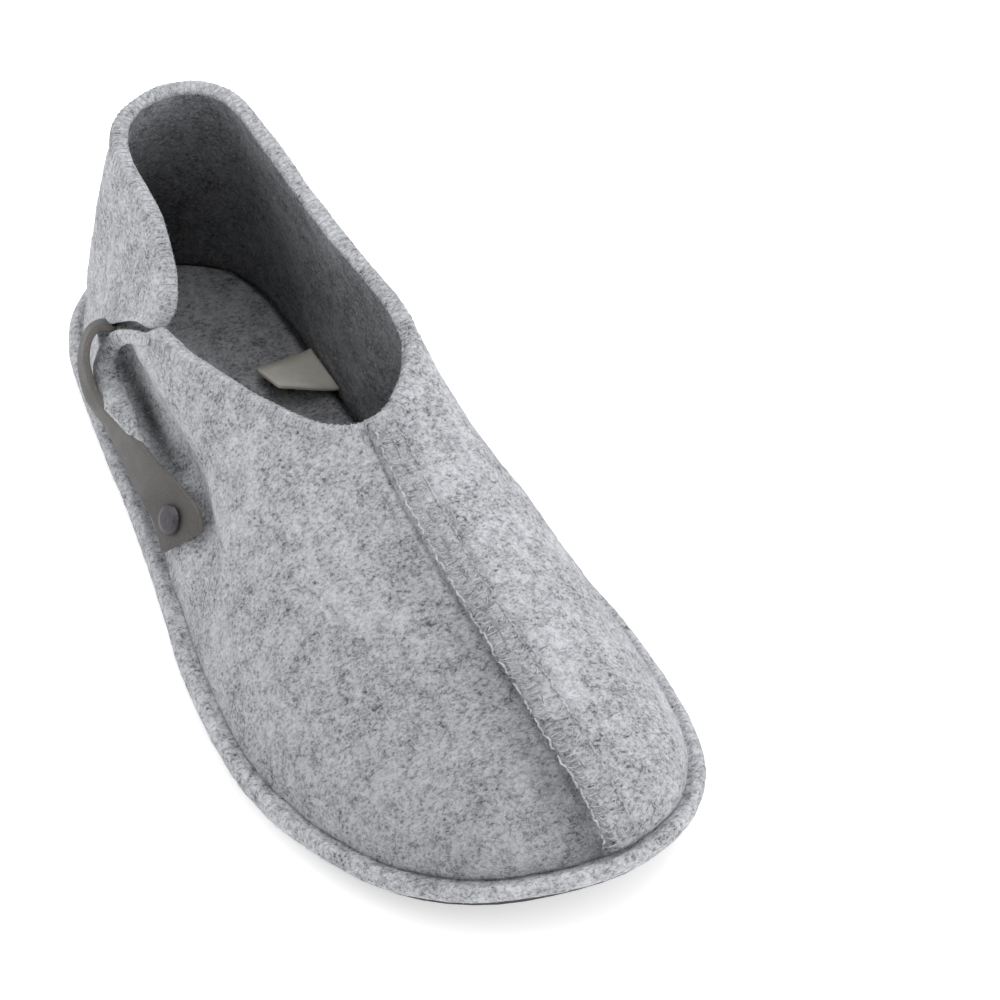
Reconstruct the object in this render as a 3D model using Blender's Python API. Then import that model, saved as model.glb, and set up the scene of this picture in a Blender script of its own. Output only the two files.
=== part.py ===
# Felt slipper for the right foot: felt upper with a raised centre seam and a side strap,
# felt sole with a rounded edge, black rubber outsole, felt insole, rivet and a bare size label.
# +X runs from heel to toe, +Y is the inner side of the foot, +Z is up, lengths are in metres.
# The outline is laid out from the back of the heel and then centred over the origin.
import math

import bmesh
import bpy
import numpy as np

# Driving sizes
SOLE_LENGTH = 0.265
BALL_WIDTH = 0.112
HEEL_HEIGHT = 0.077
WALL = 0.0045
GAP = 0.0003
TOE_SPRING = 0.0127
TOE_SPRING_START = 0.70

OUTSOLE_THICKNESS = 0.0030
OUTSOLE_INSET = 0.0030
FELT_SOLE_THICKNESS = 0.0050
LIP_WIDTH = 0.0046
LIP_RISE = 0.0009
INSOLE_THICKNESS = 0.0030

SEAM_WIDTH = 0.0090
SEAM_RISE = 0.0011
SEAM_STEP = 0.0007

SLIT_WIDTH = 0.0014
HOLE_WIDTH = 0.0052
PLEAT_DEPTH = 0.0055
PLEAT_WIDTH = 0.0060

STRAP_WIDTH = 0.0150
STRAP_THICKNESS = 0.0018
RIVET_DIAMETER = 0.0082
RIVET_HEIGHT = 0.0012
RIVET_SETTLE = 0.0004
RIVET_SIDES = 20

LABEL_WIDTH = 0.0130
LABEL_THICKNESS = 0.0008

OUTLINE_POINTS = 96
WALL_ROWS = 18
INNER_SETTLE = 4
INNER_ROW_RISE = 0.0006

# Outline of the felt sole. "along" is a share of the sole length from the heel, "inner" and
# "outer" are shares of half the ball width to the two sides of the heel's centre line.
OUTLINE = [
    # along, inner, outer
    (0.020, 0.280, 0.280),
    (0.057, 0.490, 0.460),
    (0.113, 0.605, 0.580),
    (0.170, 0.635, 0.635),
    (0.265, 0.630, 0.705),
    (0.360, 0.630, 0.770),
    (0.455, 0.715, 0.860),
    (0.565, 0.885, 0.965),
    (0.660, 0.975, 1.010),
    (0.735, 0.990, 0.995),
    (0.810, 0.970, 0.905),
    (0.870, 0.915, 0.790),
    (0.925, 0.810, 0.615),
    (0.965, 0.655, 0.385),
    (0.985, 0.500, 0.170),
]
TOE_TIP = 0.22

# Wall of the upper, one row for each rib from the heel round the inner side to the toe and back.
# "foot" is where the rib stands on the sole, as a share of its length, on the inner (+) or outer
# (-) side. The rib ends on the collar at "along" and "across" (shares of the sole length and of
# half the ball width) and "height" (a share of the heel height). It leaves the sole "rise" high
# with a bulge "out", and reaches the collar from a point "ahead", "aside" and "below" it.
RIBS = [
    # side, foot, along, across, height, out, rise, ahead, aside, below
    (+1, 0.000, 0.046, 0.107, 1.000, 0.020, 0.30, -0.012, 0.000, 0.30),
    (+1, 0.030, 0.058, 0.330, 1.000, 0.020, 0.30, -0.010, 0.040, 0.30),
    (+1, 0.070, 0.083, 0.430, 1.000, 0.020, 0.30, -0.006, 0.060, 0.30),
    (+1, 0.130, 0.125, 0.465, 1.003, 0.020, 0.30, 0.000, 0.070, 0.30),
    (+1, 0.220, 0.218, 0.478, 0.980, 0.020, 0.30, 0.004, 0.070, 0.30),
    (+1, 0.330, 0.325, 0.507, 0.935, 0.020, 0.30, 0.008, 0.070, 0.28),
    (+1, 0.430, 0.400, 0.540, 0.915, 0.020, 0.30, 0.015, 0.060, 0.26),
    (+1, 0.510, 0.450, 0.520, 0.895, 0.010, 0.30, 0.030, 0.080, 0.18),
    (+1, 0.600, 0.483, 0.410, 0.872, -0.020, 0.28, 0.050, 0.150, 0.12),
    (+1, 0.720, 0.497, 0.345, 0.853, -0.040, 0.26, 0.080, 0.170, 0.16),
    (+1, 0.850, 0.509, 0.285, 0.838, -0.030, 0.26, 0.115, 0.110, 0.26),
    (0, 1.000, 0.520, 0.190, 0.818, 0.020, 0.28, 0.137, -0.030, 0.33),
    (-1, 0.900, 0.519, 0.085, 0.806, -0.020, 0.26, 0.125, -0.100, 0.30),
    (-1, 0.780, 0.506, -0.025, 0.792, -0.050, 0.25, 0.085, -0.190, 0.24),
    (-1, 0.660, 0.470, -0.150, 0.776, -0.080, 0.24, 0.055, -0.210, 0.19),
    (-1, 0.560, 0.426, -0.245, 0.763, -0.100, 0.24, 0.035, -0.190, 0.18),
    (-1, 0.460, 0.377, -0.345, 0.751, -0.130, 0.24, 0.015, -0.160, 0.19),
    (-1, 0.360, 0.330, -0.425, 0.740, -0.060, 0.24, -0.010, -0.120, 0.19),
    (-1, 0.260, 0.301, -0.468, 0.733, 0.000, 0.26, -0.045, -0.080, 0.16),
    (-1, 0.180, 0.290, -0.480, 0.728, 0.010, 0.26, -0.078, -0.060, 0.145),
    (-1, 0.145, 0.292, -0.425, 0.770, 0.010, 0.28, -0.072, -0.110, 0.19),
    (-1, 0.115, 0.275, -0.335, 0.850, 0.000, 0.29, -0.055, -0.170, 0.24),
    (-1, 0.088, 0.232, -0.275, 0.940, -0.020, 0.30, -0.035, -0.170, 0.28),
    (-1, 0.062, 0.165, -0.260, 0.990, -0.020, 0.30, -0.022, -0.130, 0.30),
    (-1, 0.038, 0.107, -0.240, 1.000, 0.000, 0.30, -0.016, -0.090, 0.30),
    (-1, 0.016, 0.062, -0.110, 1.000, 0.015, 0.30, -0.013, -0.040, 0.30),
]
SLIT_RIB = 19
SLIT_ROW = 8
SLIT_MOUTH = 0.92
SLIT_FLARE = 1.5

# Felt roll beside the pleat on the outer wall, as shares of sole length and heel height
PLEAT_LINE = [
    # along, height
    (0.250, 0.490),
    (0.310, 0.470),
    (0.385, 0.420),
    (0.465, 0.365),
    (0.515, 0.320),
]
PLEAT_RIDGE_DROP = 0.0085
PLEAT_RIDGE_RISE = 0.0028

# Strap from its riveted end on the outer wall back to the slit: a row for each place of its
# centre line. "foot" and "climb" say where on the wall, "off" how far the strap's middle stands
# off it (metres, below zero inside the slit), "toeward" and "inward" how many degrees its width
# leans from upright towards the toe and towards the inner side.
STRAP_LINE = [
    # foot, climb, off, toeward, inward
    (0.459, 0.248, 0.0016, 36, 43),
    (0.434, 0.276, 0.0018, 36, 33),
    (0.400, 0.314, 0.0034, 36, 10),
    (0.369, 0.334, 0.0046, 36, -6),
    (0.329, 0.338, 0.0048, 36, -10),
    (0.282, 0.347, 0.0046, 36, -14),
    (0.252, 0.370, 0.0046, 37, -16),
    (0.227, 0.413, 0.0054, 38, -16),
    (0.203, 0.479, 0.0062, 40, -12),
    (0.179, 0.564, 0.0081, 40, -4),
    (0.171, 0.632, 0.0073, 40, 4),
    (0.173, 0.670, 0.0044, 40, 9),
    (0.180, 0.667, 0.0000, 40, 9),
    (0.181, 0.665, -0.0020, 40, 9),
]
RIVET_ROW = 1

# Size label's middle line from the inner wall over the insole, with the lean of its width
LABEL_LINE = [
    # along, across, height, lean
    (0.274, 0.455, 0.172, 0),
    (0.274, 0.370, 0.178, 8),
    (0.274, 0.270, 0.190, 18),
    (0.274, 0.165, 0.212, 28),
]


def remove_objects():
    for item in list(bpy.data.objects):
        bpy.data.objects.remove(item, do_unlink=True)


def make_material(name, color, roughness, metallic=0.0):
    material = bpy.data.materials.new(name)
    material.use_nodes = True
    shader = material.node_tree.nodes["Principled BSDF"]
    shader.inputs["Base Color"].default_value = (*color, 1.0)
    shader.inputs["Roughness"].default_value = roughness
    shader.inputs["Metallic"].default_value = metallic
    return material


def add_object(name, mesh_builder, material):
    mesh = bpy.data.meshes.new(name)
    mesh_builder.to_mesh(mesh)
    mesh_builder.free()
    mesh.materials.append(material)
    mesh.shade_smooth()
    mesh.set_sharp_from_angle(angle=math.radians(40))
    item = bpy.data.objects.new(name, mesh)
    bpy.context.collection.objects.link(item)
    return item


def periodic_spline(knots, values, at):
    # Closed cubic spline. knots has one more entry than values, for the place where it closes.
    knots = np.asarray(knots, float)
    values = np.asarray(values, float)
    count = len(values)
    step = np.diff(knots)
    slope = (np.roll(values, -1, axis=0) - values) / step[:, None]
    system = np.zeros((count, count))
    for i in range(count):
        system[i, i - 1] += step[i - 1]
        system[i, i] += 2 * (step[i - 1] + step[i])
        system[i, (i + 1) % count] += step[i]
    bend = np.linalg.solve(system, 6 * (slope - np.roll(slope, 1, axis=0)))
    period = knots[-1] - knots[0]
    at = knots[0] + np.mod(np.asarray(at, float) - knots[0], period)
    i = np.clip(np.searchsorted(knots, at, side="right") - 1, 0, count - 1)
    j = (i + 1) % count
    a = ((knots[i + 1] - at) / step[i])[:, None]
    b = 1 - a
    curve = ((a ** 3 - a) * bend[i] + (b ** 3 - b) * bend[j]) * (step[i] ** 2)[:, None] / 6
    return a * values[i] + b * values[j] + curve


def steady_map(xs, ys, at):
    # Monotone cubic through rising points, so that ribs never cross.
    xs = np.asarray(xs, float)
    ys = np.asarray(ys, float)
    step = np.diff(xs)
    slope = np.diff(ys) / step
    ends = np.empty(len(xs))
    ends[1:-1] = 2 / (1 / slope[:-1] + 1 / slope[1:])
    ends[0] = ends[-1] = 2 / (1 / slope[0] + 1 / slope[-1])
    i = np.clip(np.searchsorted(xs, at, side="right") - 1, 0, len(slope) - 1)
    t = (at - xs[i]) / step[i]
    return (ys[i] * (1 + 2 * t) * (1 - t) ** 2 + ys[i + 1] * t * t * (3 - 2 * t)
            + step[i] * (ends[i] * t * (1 - t) ** 2 - ends[i + 1] * t * t * (1 - t)))


def chord_knots(points, power):
    reach = np.linalg.norm(np.diff(np.vstack([points, points[:1]]), axis=0), axis=1) ** power
    return np.concatenate([[0], np.cumsum(reach)])


def outline_corners():
    half = BALL_WIDTH / 2
    inner = [(along * SOLE_LENGTH, share * half) for along, share, _ in OUTLINE]
    outer = [(along * SOLE_LENGTH, -share * half) for along, _, share in OUTLINE]
    return np.array([(0, 0)] + inner + [(SOLE_LENGTH, TOE_TIP * half)] + outer[::-1])


def measure_outline():
    # Outline at dense even steps of its own length, with the outward normal at each.
    corners = outline_corners()
    knots = chord_knots(corners, 0.5)
    dense = periodic_spline(knots, corners, np.linspace(0, knots[-1], 4000, endpoint=False))
    walked = chord_knots(dense, 1)
    closed = np.vstack([dense, dense[:1]])
    share = walked / walked[-1]
    ahead = np.roll(dense, -1, axis=0) - np.roll(dense, 1, axis=0)
    normal = np.stack([-ahead[:, 1], ahead[:, 0]], axis=1)
    normal /= np.linalg.norm(normal, axis=1)[:, None]
    normal = np.vstack([normal, normal[:1]])
    centre = (dense.max(axis=0) + dense.min(axis=0)) / 2
    return share, closed, normal, walked[-1], centre


SHARE, EDGE, EDGE_NORMAL, PERIMETER, CENTRE = measure_outline()


def edge_points(shares, inset):
    shares = np.mod(shares, 1)
    point = np.stack([np.interp(shares, SHARE, EDGE[:, k]) for k in (0, 1)], axis=1)
    normal = np.stack([np.interp(shares, SHARE, EDGE_NORMAL[:, k]) for k in (0, 1)], axis=1)
    normal /= np.linalg.norm(normal, axis=1)[:, None]
    return point - normal * inset, normal


def foot_share(side, along):
    tip = SHARE[np.argmax(EDGE[:, 0])]
    keep = SHARE <= tip if side > 0 else SHARE >= tip
    place = EDGE[keep, 0]
    share = SHARE[keep]
    if side < 0:
        place, share = place[::-1], share[::-1]
    return float(np.interp(along * SOLE_LENGTH, place, share))


def spring(x):
    rise = np.clip((np.asarray(x) / SOLE_LENGTH - TOE_SPRING_START) / (1 - TOE_SPRING_START), 0, 1.2)
    return TOE_SPRING * rise ** 2


def to_world(points):
    points = np.array(points, float)
    points[..., 0] -= CENTRE[0]
    points[..., 1] -= CENTRE[1]
    return points


def normals_up(mesh_builder):
    bmesh.ops.recalc_face_normals(mesh_builder, faces=mesh_builder.faces)


def slab(name, profile, material):
    # A sole layer: the outline swept along a profile of (inset, height) rows from the middle of
    # the underside round the edge to the middle of the top, closed across between the two sides.
    tip = foot_share(+1, 1)
    half = OUTLINE_POINTS // 2
    shares = np.concatenate([np.linspace(0, tip, half, endpoint=False),
                             np.linspace(tip, 1, half, endpoint=False)])
    builder = bmesh.new()
    rings = []
    for inset, height in profile:
        flat, _ = edge_points(shares, inset)
        lifted = np.column_stack([flat, height + spring(flat[:, 0])])
        rings.append([builder.verts.new(p) for p in to_world(lifted)])
    for low, high in zip(rings, rings[1:]):
        for i in range(OUTLINE_POINTS):
            j = (i + 1) % OUTLINE_POINTS
            builder.faces.new((low[i], low[j], high[j], high[i]))
    for ring in (rings[0], rings[-1]):
        for i in range(half):
            across = [ring[i], ring[i + 1], ring[-i - 1], ring[-i]]
            builder.faces.new(list(dict.fromkeys(across)))
    normals_up(builder)
    return add_object(name, builder, material)


def build_soles():
    bottom = OUTSOLE_THICKNESS + GAP
    top = bottom + FELT_SOLE_THICKNESS
    edge = OUTSOLE_INSET
    rubber = make_material("black_rubber", (0.020, 0.020, 0.022), 0.55)
    felt = make_material("grey_felt", (0.50, 0.51, 0.53), 0.95)
    dark = make_material("dark_felt", (0.075, 0.078, 0.082), 0.95)
    slab("outsole", [
        (edge + 0.0012, 0),
        (edge + 0.0003, 0.0005),
        (edge, 0.0012),
        (edge + 0.0002, OUTSOLE_THICKNESS),
    ], rubber)
    slab("felt_sole", [
        (edge - 0.0003, bottom),
        (0.0008, bottom + 0.0006),
        (0.0000, bottom + 0.0024),
        (0.0004, top - 0.0005),
        (0.0016, top + LIP_RISE - 0.0002),
        (0.0028, top + LIP_RISE),
        (0.0038, top + LIP_RISE - 0.0005),
        (LIP_WIDTH - GAP, top),
    ], felt)
    inner_edge = LIP_WIDTH + WALL + GAP
    slab("insole", [
        (inner_edge + 0.0002, top + GAP),
        (inner_edge + 0.0012, top + GAP + INSOLE_THICKNESS - 0.0008),
        (inner_edge + 0.0022, top + GAP + INSOLE_THICKNESS),
    ], dark)
    return top


FEATHER = OUTSOLE_THICKNESS + GAP + FELT_SOLE_THICKNESS + GAP


def rib_table():
    # Foot share, collar point and collar handle of each rib, with two more ribs that keep the
    # centre seam as wide at the throat as at the toe.
    half = BALL_WIDTH / 2
    foot, collar, handle, root = [], [], [], []
    for side, along_foot, along, across, height, out, rise, ahead, aside, below in RIBS:
        foot.append(foot_share(side if side else 1, along_foot))
        collar.append((along * SOLE_LENGTH, across * half, height * HEEL_HEIGHT))
        handle.append((ahead * SOLE_LENGTH, aside * half, -below * HEEL_HEIGHT))
        root.append((out * HEEL_HEIGHT, rise * HEEL_HEIGHT))
    return np.array(foot), np.array(collar), np.array(handle), np.array(root)


FOOT, COLLAR, HANDLE, ROOT = rib_table()
COLLAR_KNOTS = chord_knots(COLLAR, 1)
FOOT_KNOTS = np.append(FOOT, 1)
SEAM_RIB = next(i for i, row in enumerate(RIBS) if row[0] == 0)


def collar_place(shares):
    # Where on the collar the rib over each foot share ends.
    band = SEAM_WIDTH / 2 + SEAM_STEP
    foot = np.concatenate([FOOT, [1]])
    place = COLLAR_KNOTS.copy()
    seam_foot, seam_place = foot[SEAM_RIB], place[SEAM_RIB]
    foot = np.concatenate([foot[:SEAM_RIB], [seam_foot - band / PERIMETER, seam_foot,
                           seam_foot + band / PERIMETER], foot[SEAM_RIB + 1:]])
    place = np.concatenate([place[:SEAM_RIB], [seam_place - band, seam_place,
                            seam_place + band], place[SEAM_RIB + 1:]])
    return steady_map(foot, place, np.mod(shares, 1))


def wall_points(shares, climb):
    # Smooth outer surface of the upper: a cubic rib from the sole to the collar at each share.
    flat, normal = edge_points(shares, LIP_WIDTH)
    start = np.column_stack([flat, FEATHER + spring(flat[:, 0])])
    place = collar_place(shares)
    end = periodic_spline(COLLAR_KNOTS, COLLAR, place)
    pull = periodic_spline(FOOT_KNOTS, HANDLE, np.mod(shares, 1))
    root = periodic_spline(FOOT_KNOTS, ROOT, np.mod(shares, 1))
    first = start + np.column_stack([normal * root[:, :1], root[:, 1]])
    second = end + pull
    t = np.asarray(climb)[:, None]
    return ((1 - t) ** 3 * start + 3 * (1 - t) ** 2 * t * first
            + 3 * (1 - t) * t * t * second + t ** 3 * end)


def wall_normals(shares, climb):
    step = 0.002
    climb = np.asarray(climb)
    low = np.clip(climb - step, 0, 1)
    high = np.clip(climb + step, 0, 1)
    up = wall_points(shares, high) - wall_points(shares, low)
    around = wall_points(shares + step / 4, climb) - wall_points(shares - step / 4, climb)
    normal = np.cross(up, around)
    return normal / np.linalg.norm(normal, axis=1)[:, None]


def pleat_depth(points):
    # How deep the pleat sinks the outer wall at each point, with the soft roll under it.
    line = np.array([(a * SOLE_LENGTH, h * HEEL_HEIGHT) for a, h in PLEAT_LINE])
    flat = points[:, [0, 2]]
    near = np.full(len(flat), np.inf)
    along = np.zeros(len(flat))
    below = np.zeros(len(flat))
    for i, (a, b) in enumerate(zip(line, line[1:])):
        reach = b - a
        t = np.clip(((flat - a) @ reach) / (reach @ reach), 0, 1)
        gap = flat - a - t[:, None] * reach
        distance = np.linalg.norm(gap, axis=1)
        closer = distance < near
        near = np.where(closer, distance, near)
        along = np.where(closer, (i + t) / (len(line) - 1), along)
        below = np.where(closer, np.where(gap[:, 1] < 0, distance, -distance), below)
    fade = np.sqrt(np.clip(1 - along ** 3, 0, 1))
    trough = PLEAT_DEPTH * np.exp(-(near / PLEAT_WIDTH) ** 2) * fade
    roll = PLEAT_RIDGE_RISE * np.exp(-((below - PLEAT_RIDGE_DROP) / PLEAT_WIDTH) ** 2) * fade
    outer = points[:, 1] < -0.010
    return np.where(outer, trough - roll, 0)


def slit_gap(row):
    # Opening of the slit at a row of the wall: a wide mouth for the strap, then a narrow cut.
    if row <= SLIT_ROW:
        return 0.0
    share = (row - SLIT_ROW) / (WALL_ROWS - SLIT_ROW) / SLIT_MOUTH
    return SLIT_WIDTH + (HOLE_WIDTH - SLIT_WIDTH) * math.sqrt(max(0.0, 1 - share * share))


def wall_shares():
    # Foot shares of the wall's columns: even steps, with the seam's edges and the slit set in.
    seam = FOOT[SEAM_RIB]
    slit = FOOT[SLIT_RIB]
    half_band = SEAM_WIDTH / 2 / PERIMETER
    step = SEAM_STEP / PERIMETER
    stops = [seam + side * (half_band + extra) for side in (-1, 1) for extra in (0, step)]
    stops += [seam - half_band / 2, seam, seam + half_band / 2]
    spacing = 1 / OUTLINE_POINTS
    clear = half_band + step + spacing * 0.4
    even = [k * spacing for k in range(OUTLINE_POINTS)]
    even = [u for u in even if abs(u - seam) > clear and abs(u - slit) > spacing * 0.5]
    return np.array(sorted(even + stops + [slit, slit]))


def finished_wall(shares, climb):
    # Outer surface with the seam's step and the pleat.
    base = wall_points(shares, climb)
    normal = wall_normals(shares, climb)
    away = np.abs(shares - FOOT[SEAM_RIB]) * PERIMETER - SEAM_WIDTH / 2
    rise = SEAM_RISE * np.clip(1 - away / SEAM_STEP, 0, 1) * np.minimum(1, climb * WALL_ROWS)
    return base + normal * (rise - pleat_depth(base))[:, None]


def inner_wall(points, shares, row):
    # Inner surface one wall thickness inside the outer one, level with it along the sole.
    climb = np.full(len(shares), row / WALL_ROWS)
    _, flat = edge_points(shares, 0)
    level = np.column_stack([flat, np.zeros(len(flat))])
    settle = min(1.0, row / INNER_SETTLE)
    normal = level * (1 - settle) + wall_normals(shares, climb) * settle
    normal /= np.linalg.norm(normal, axis=1)[:, None]
    inside = points - normal * WALL
    lowest = FEATHER + spring(inside[:, 0]) + row * INNER_ROW_RISE
    inside[:, 2] = np.maximum(inside[:, 2], lowest)
    return inside


def open_slit(points, inside, slit, row):
    # The two sides of the slit drawn apart, with the columns next to them following less.
    around = points[slit + 2] - points[slit - 1]
    around *= slit_gap(row) / 2 / np.linalg.norm(around)
    for away, share in enumerate((1.0, 0.7, 0.4, 0.15)):
        for skin, wide in ((points, 1.0), (inside, SLIT_FLARE)):
            skin[slit - away] -= around * share * wide
            skin[slit + 1 + away] += around * share * wide


def build_upper(material):
    shares = wall_shares()
    count = len(shares)
    slit = int(np.argmax(np.isclose(shares, FOOT[SLIT_RIB])))
    builder = bmesh.new()
    outer, inner = [], []
    for row in range(WALL_ROWS + 1):
        points = finished_wall(shares, np.full(count, row / WALL_ROWS))
        inside = inner_wall(points, shares, row)
        open_slit(points, inside, slit, row)
        for rows, place in ((outer, points), (inner, inside)):
            rows.append([builder.verts.new(p) for p in to_world(place)])
    around = [(i, (i + 1) % count) for i in range(count) if i != slit]
    for row in range(WALL_ROWS):
        for i, j in around:
            for skin in (outer, inner):
                low, high = skin[row], skin[row + 1]
                builder.faces.new((low[i], low[j], high[j], high[i]))
        if row >= SLIT_ROW:
            for i in (slit, slit + 1):
                builder.faces.new((outer[row][i], inner[row][i], inner[row + 1][i], outer[row + 1][i]))
    for i, j in around:
        for row in (0, WALL_ROWS):
            builder.faces.new((outer[row][i], outer[row][j], inner[row][j], inner[row][i]))
    bmesh.ops.remove_doubles(builder, verts=builder.verts, dist=1e-6)
    normals_up(builder)
    return add_object("upper", builder, material)


def wall_frame(foot, climb):
    # Place and outward normal of the finished wall on the outer side of the foot.
    shares = np.array([foot_share(-1, foot)])
    climbs = np.array([climb])
    return finished_wall(shares, climbs)[0], wall_normals(shares, climbs)[0]


def open_spline(knots, values, at):
    # Natural cubic spline through a row of places.
    count = len(values)
    step = np.diff(knots)
    slope = np.diff(values, axis=0) / step[:, None]
    system = np.eye(count)
    right = np.zeros(values.shape)
    for i in range(1, count - 1):
        system[i, i - 1:i + 2] = step[i - 1], 2 * (step[i - 1] + step[i]), step[i]
        right[i] = 6 * (slope[i] - slope[i - 1])
    bend = np.linalg.solve(system, right)
    i = np.clip(np.searchsorted(knots, at, side="right") - 1, 0, count - 2)
    a = ((knots[i + 1] - at) / step[i])[:, None]
    b = 1 - a
    curve = ((a ** 3 - a) * bend[i] + (b ** 3 - b) * bend[i + 1]) * (step[i] ** 2)[:, None] / 6
    return a * values[i] + b * values[i + 1] + curve


def ribbon(name, centres, widths, width, thickness, stations, material):
    # Flat band that follows a row of centres, its width along a direction given at each.
    knots = np.concatenate([[0], np.cumsum(np.linalg.norm(np.diff(centres, axis=0), axis=1))])
    even = np.linspace(0, knots[-1], stations)
    centres = open_spline(knots, np.array(centres), even)
    widths = open_spline(knots, np.array(widths), even)
    ahead = np.gradient(centres, axis=0)
    builder = bmesh.new()
    rings = []
    for centre, across, forward in zip(centres, widths, ahead):
        across = across - forward * (across @ forward) / (forward @ forward)
        across /= np.linalg.norm(across)
        face = np.cross(forward, across)
        face /= np.linalg.norm(face)
        ring = []
        for side, deep in ((-0.5, -0.5), (0.5, -0.5), (0.5, 0.5), (-0.5, 0.5)):
            corner = centre + across * side * width + face * deep * thickness
            ring.append(builder.verts.new(to_world(corner)))
        rings.append(ring)
    for low, high in zip(rings, rings[1:]):
        for i in range(4):
            j = (i + 1) % 4
            builder.faces.new((low[i], low[j], high[j], high[i]))
    builder.faces.new(rings[0])
    builder.faces.new(rings[-1])
    normals_up(builder)
    return add_object(name, builder, material)


def strap_places():
    centres, widths = [], []
    for foot, climb, off, toeward, inward in STRAP_LINE:
        point, normal = wall_frame(foot, climb)
        centres.append(point + normal * off)
        width = np.array([math.tan(math.radians(toeward)), math.tan(math.radians(inward)), 1])
        widths.append(width / np.linalg.norm(width))
    return centres, widths


def build_rivet(centres, widths, material):
    # Low round cap lying just off the strap's outer face.
    ahead = centres[RIVET_ROW + 1] - centres[RIVET_ROW - 1]
    across = widths[RIVET_ROW]
    across = across - ahead * (across @ ahead) / (ahead @ ahead)
    up = np.cross(across, ahead)
    if up[1] > 0:
        up = -up
    up /= np.linalg.norm(up)
    side = np.cross(up, across / np.linalg.norm(across))
    radius = RIVET_DIAMETER / 2
    foot = centres[RIVET_ROW] + up * (STRAP_THICKNESS / 2 + GAP + RIVET_SETTLE)
    builder = bmesh.new()
    rings = []
    for share, height in ((0.96, 0.0), (1.0, 0.25), (0.94, 0.62), (0.66, 0.93), (0.3, 1.0)):
        ring = []
        for k in range(RIVET_SIDES):
            angle = 2 * math.pi * k / RIVET_SIDES
            flat = side * math.cos(angle) + np.cross(up, side) * math.sin(angle)
            corner = foot + flat * radius * share + up * RIVET_HEIGHT * height
            ring.append(builder.verts.new(to_world(corner)))
        rings.append(ring)
    for low, high in zip(rings, rings[1:]):
        for k in range(RIVET_SIDES):
            m = (k + 1) % RIVET_SIDES
            builder.faces.new((low[k], low[m], high[m], high[k]))
    builder.faces.new(rings[0])
    builder.faces.new(rings[-1])
    normals_up(builder)
    return add_object("rivet", builder, material)


def build_label(material):
    centres, widths = [], []
    for along, across, height, lean in LABEL_LINE:
        place = (along * SOLE_LENGTH, across * BALL_WIDTH / 2, height * HEEL_HEIGHT)
        centres.append(np.array(place))
        angle = math.radians(lean)
        widths.append(np.array([math.cos(angle), 0, math.sin(angle)]))
    ribbon("size_label", centres, widths, LABEL_WIDTH, LABEL_THICKNESS, 8, material)


remove_objects()
build_soles()
build_upper(make_material("light_felt", (0.52, 0.53, 0.55), 0.95))
strap_centres, strap_widths = strap_places()
ribbon("strap", strap_centres, strap_widths, STRAP_WIDTH, STRAP_THICKNESS, 40,
       make_material("grey_leather", (0.13, 0.125, 0.115), 0.6))
build_rivet(strap_centres, strap_widths, make_material("dark_metal", (0.12, 0.115, 0.13), 0.35, 1.0))
build_label(make_material("cream_cloth", (0.45, 0.43, 0.36), 0.9))
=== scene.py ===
# Felt slipper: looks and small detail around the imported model, in metres, same frame as the CAD.
import math
import random

import bmesh
import bpy
import numpy as np
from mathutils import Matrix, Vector
from mathutils.bvhtree import BVHTree


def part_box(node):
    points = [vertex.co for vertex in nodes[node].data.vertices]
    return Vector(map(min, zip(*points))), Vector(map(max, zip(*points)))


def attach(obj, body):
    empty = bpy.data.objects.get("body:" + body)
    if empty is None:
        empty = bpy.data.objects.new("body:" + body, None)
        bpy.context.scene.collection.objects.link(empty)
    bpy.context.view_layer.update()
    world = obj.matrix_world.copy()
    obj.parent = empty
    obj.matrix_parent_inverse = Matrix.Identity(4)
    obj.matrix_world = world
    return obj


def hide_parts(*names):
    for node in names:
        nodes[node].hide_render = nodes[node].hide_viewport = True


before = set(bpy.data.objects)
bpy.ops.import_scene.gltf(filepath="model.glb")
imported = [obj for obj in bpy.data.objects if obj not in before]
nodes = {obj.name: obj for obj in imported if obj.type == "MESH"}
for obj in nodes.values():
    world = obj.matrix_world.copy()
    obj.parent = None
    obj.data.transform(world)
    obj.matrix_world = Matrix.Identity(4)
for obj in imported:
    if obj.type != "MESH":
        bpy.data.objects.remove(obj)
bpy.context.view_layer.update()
print("frame loaded:", sorted(nodes))


# small helpers used by every piece

merging = {"distance": 0.00001, "faceAngle": math.radians(50), "shapeAngle": math.radians(60)}
tube = {"offAxis": (0.13, 0.21, 0.97), "tip": 0.55}


def pick(piece):
    # only this piece is selected and active
    if bpy.context.mode != "OBJECT":
        bpy.ops.object.mode_set(mode="OBJECT")
    bpy.ops.object.select_all(action="DESELECT")
    piece.select_set(True)
    bpy.context.view_layer.objects.active = piece


def copyNode(nodeName, pieceName):
    # a merged copy of a CAD node's mesh, with four-sided faces where two triangles pair up
    mesh = nodes[nodeName].data.copy()
    mesh.name = pieceName
    piece = bpy.data.objects.new(pieceName, mesh)
    bpy.context.collection.objects.link(piece)
    pick(piece)
    mesh.materials.clear()
    bpy.ops.object.mode_set(mode="EDIT")
    bpy.ops.mesh.select_all(action="SELECT")
    bpy.ops.mesh.customdata_custom_splitnormals_clear()
    bpy.ops.mesh.remove_doubles(threshold=merging["distance"])
    bpy.ops.mesh.mark_sharp(clear=True)
    bpy.ops.mesh.tris_convert_to_quads(face_threshold=merging["faceAngle"],
                                       shape_threshold=merging["shapeAngle"])
    bpy.ops.object.mode_set(mode="OBJECT")
    bpy.ops.object.shade_smooth()
    return piece


def addModifier(piece, kind, **values):
    # adds one modifier, sets it and applies it
    pick(piece)
    modifier = piece.modifiers.new(kind.lower(), kind)
    for key, value in values.items():
        setattr(modifier, key, value)
    bpy.ops.object.modifier_apply(modifier=modifier.name)


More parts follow.
